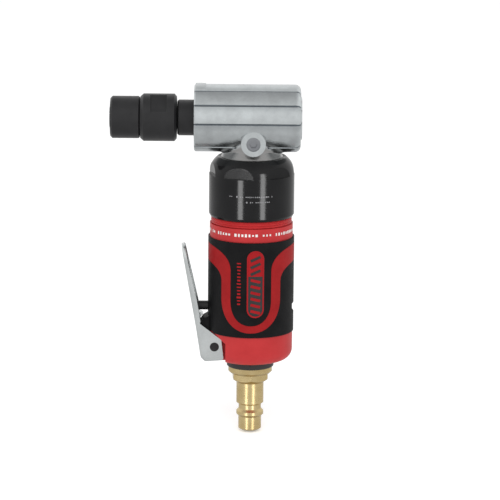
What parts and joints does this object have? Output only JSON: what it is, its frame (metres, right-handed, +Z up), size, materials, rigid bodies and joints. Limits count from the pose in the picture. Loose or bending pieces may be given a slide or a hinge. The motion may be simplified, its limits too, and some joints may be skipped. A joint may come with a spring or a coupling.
{
  "type": "angle die grinder",
  "caption": "Compact right-angle air die grinder: lever throttle, vane motor in a rubber-gripped body, bevel-gear angle head, collet for shank tools, plug for a quick air coupling.",
  "frame": {"origin": "centre of the air plug at its tip, on the body axis", "axes": "+Z up the body axis from the air plug to the angle head, -X along the spindle towards the collet, -Y towards the front with the badge"},
  "size_m": [0.0836, 0.0379, 0.1548],
  "materials": {
    "brass": "turned, bright",
    "red_body": "red anodised, satin",
    "black_nut": "black anodised, glossy",
    "black_steel": "black oxide, satin",
    "black_plastic": "moulded, fine grain",
    "grip_rubber": "matt, fine grain",
    "inlay_rubber": "matt",
    "badge_print": "matt, red frame with black bars",
    "lever_steel": "bead-blasted pressing",
    "head_alloy": "bead-blasted, satin",
    "bearing_steel": "ground",
    "liner_iron": "ground bore",
    "plate_iron": "ground",
    "hard_steel": "hardened and ground",
    "vane_resin": "cloth-filled resin",
    "seal_rubber": "smooth",
    "spring_steel": "drawn wire"
  },
  "bodies": {
    "tool": {"air_plug": "brass", "inlet_bushing": "brass", "inlet_strainer": "brass", "housing": "red_body", "grip_sleeve": "grip_rubber", "grip_inlay": "inlay_rubber", "badge": "badge_print", "lever_pin": "black_steel", "valve_seat": "brass", "valve_spring": "spring_steel", "valve_plug": "brass", "valve_plug_o_ring": "seal_rubber", "rear_plate": "plate_iron", "cylinder_liner": "liner_iron", "front_plate": "plate_iron", "motor_dowel": "hard_steel", "preload_washer": "spring_steel", "rotor_rear_bearing_outer": "bearing_steel", "rotor_front_bearing_outer": "bearing_steel", "pinion_bearing_outer": "bearing_steel", "pinion_circlip": "spring_steel", "head_housing": "head_alloy", "clamp_nut": "black_nut", "neck_seal": "seal_rubber", "grease_screw": "hard_steel", "head_cap": "head_alloy", "bearing_spacer": "hard_steel", "spindle_front_bearing_outer": "bearing_steel", "spindle_rear_bearing_outer": "bearing_steel", "nose_retainer": "black_steel", "spindle_seal": "seal_rubber"},
    "exhaust_deflector": {"exhaust_deflector": "black_plastic"},
    "lever": {"throttle_lever": "lever_steel"},
    "valve": {"valve_stem": "black_steel", "valve_seal": "seal_rubber"},
    "rotor": {"rotor": "hard_steel", "vanes": "vane_resin", "pinion_shaft": "hard_steel", "rotor_rear_bearing_inner": "bearing_steel", "rotor_front_bearing_inner": "bearing_steel", "pinion_bearing_inner": "bearing_steel"},
    "spindle": {"spindle": "black_steel", "bevel_gear": "hard_steel", "gear_key": "hard_steel", "spindle_front_bearing_inner": "bearing_steel", "spindle_rear_bearing_inner": "bearing_steel"},
    "rear_cage": {"rotor_rear_bearing_cage": "bearing_steel"},
    "front_cage": {"rotor_front_bearing_cage": "bearing_steel"},
    "pinion_cage": {"pinion_bearing_cage": "bearing_steel"},
    "spindle_front_cage": {"spindle_front_bearing_cage": "bearing_steel"},
    "spindle_rear_cage": {"spindle_rear_bearing_cage": "bearing_steel"},
    "collet": {"collet": "hard_steel"},
    "collet_nut": {"collet_nut": "black_steel"}
  },
  "joints": [
    {"name": "exhaust_deflector_turn", "type": "hinge", "parent": "tool", "child": "exhaust_deflector", "pos_m": [0, 0, 0.0308], "axis": [0, 0, 1], "continuous": true},
    {"name": "lever_pivot", "type": "hinge", "parent": "tool", "child": "lever", "pos_m": [-0.0158, 0, 0.03885], "axis": [0, 1, 0], "range_deg": [0, 5.5], "stiffness_Nm_per_rad": 0.9, "springref_deg": -10.31},
    {"name": "valve_travel", "type": "slide", "parent": "tool", "child": "valve", "axis": [1, 0, 0], "range_m": [0, 0.00173], "deforming": ["valve_spring"]},
    {"name": "rotor_spin", "type": "hinge", "parent": "tool", "child": "rotor", "pos_m": [0, 0, 0.082], "axis": [0, 0, 1], "continuous": true},
    {"name": "spindle_spin", "type": "hinge", "parent": "tool", "child": "spindle", "pos_m": [0, 0, 0.1397], "axis": [1, 0, 0], "continuous": true},
    {"name": "rear_cage_roll", "type": "hinge", "parent": "tool", "child": "rear_cage", "pos_m": [0, 0, 0.068], "axis": [0, 0, 1], "continuous": true},
    {"name": "front_cage_roll", "type": "hinge", "parent": "tool", "child": "front_cage", "pos_m": [0, 0, 0.097], "axis": [0, 0, 1], "continuous": true},
    {"name": "pinion_cage_roll", "type": "hinge", "parent": "tool", "child": "pinion_cage", "pos_m": [0, 0, 0.1145], "axis": [0, 0, 1], "continuous": true},
    {"name": "spindle_front_cage_roll", "type": "hinge", "parent": "tool", "child": "spindle_front_cage", "pos_m": [-0.0174, 0, 0.1397], "axis": [1, 0, 0], "continuous": true},
    {"name": "spindle_rear_cage_roll", "type": "hinge", "parent": "tool", "child": "spindle_rear_cage", "pos_m": [0.0144, 0, 0.1397], "axis": [1, 0, 0], "continuous": true},
    {"name": "collet_slide", "type": "slide", "parent": "spindle", "child": "collet", "axis": [-1, 0, 0], "range_m": [0, 0.001]},
    {"name": "collet_nut_turn", "type": "hinge", "parent": "collet", "child": "collet_nut", "pos_m": [-0.055, 0, 0.1397], "axis": [-1, 0, 0], "range_deg": [0, 360]}
  ],
  "couplings": [
    {"joint": "valve_travel", "follows": "lever_pivot", "m_per_rad": 0.0178},
    {"joint": "spindle_spin", "follows": "rotor_spin", "ratio": 0.8},
    {"joint": "rear_cage_roll", "follows": "rotor_spin", "ratio": 0.40417},
    {"joint": "front_cage_roll", "follows": "rotor_spin", "ratio": 0.40417},
    {"joint": "pinion_cage_roll", "follows": "rotor_spin", "ratio": 0.38889},
    {"joint": "spindle_front_cage_roll", "follows": "rotor_spin", "ratio": 0.288},
    {"joint": "spindle_rear_cage_roll", "follows": "rotor_spin", "ratio": 0.30657},
    {"joint": "collet_nut_turn", "follows": "collet_slide", "rad_per_m": 6280}
  ]
}
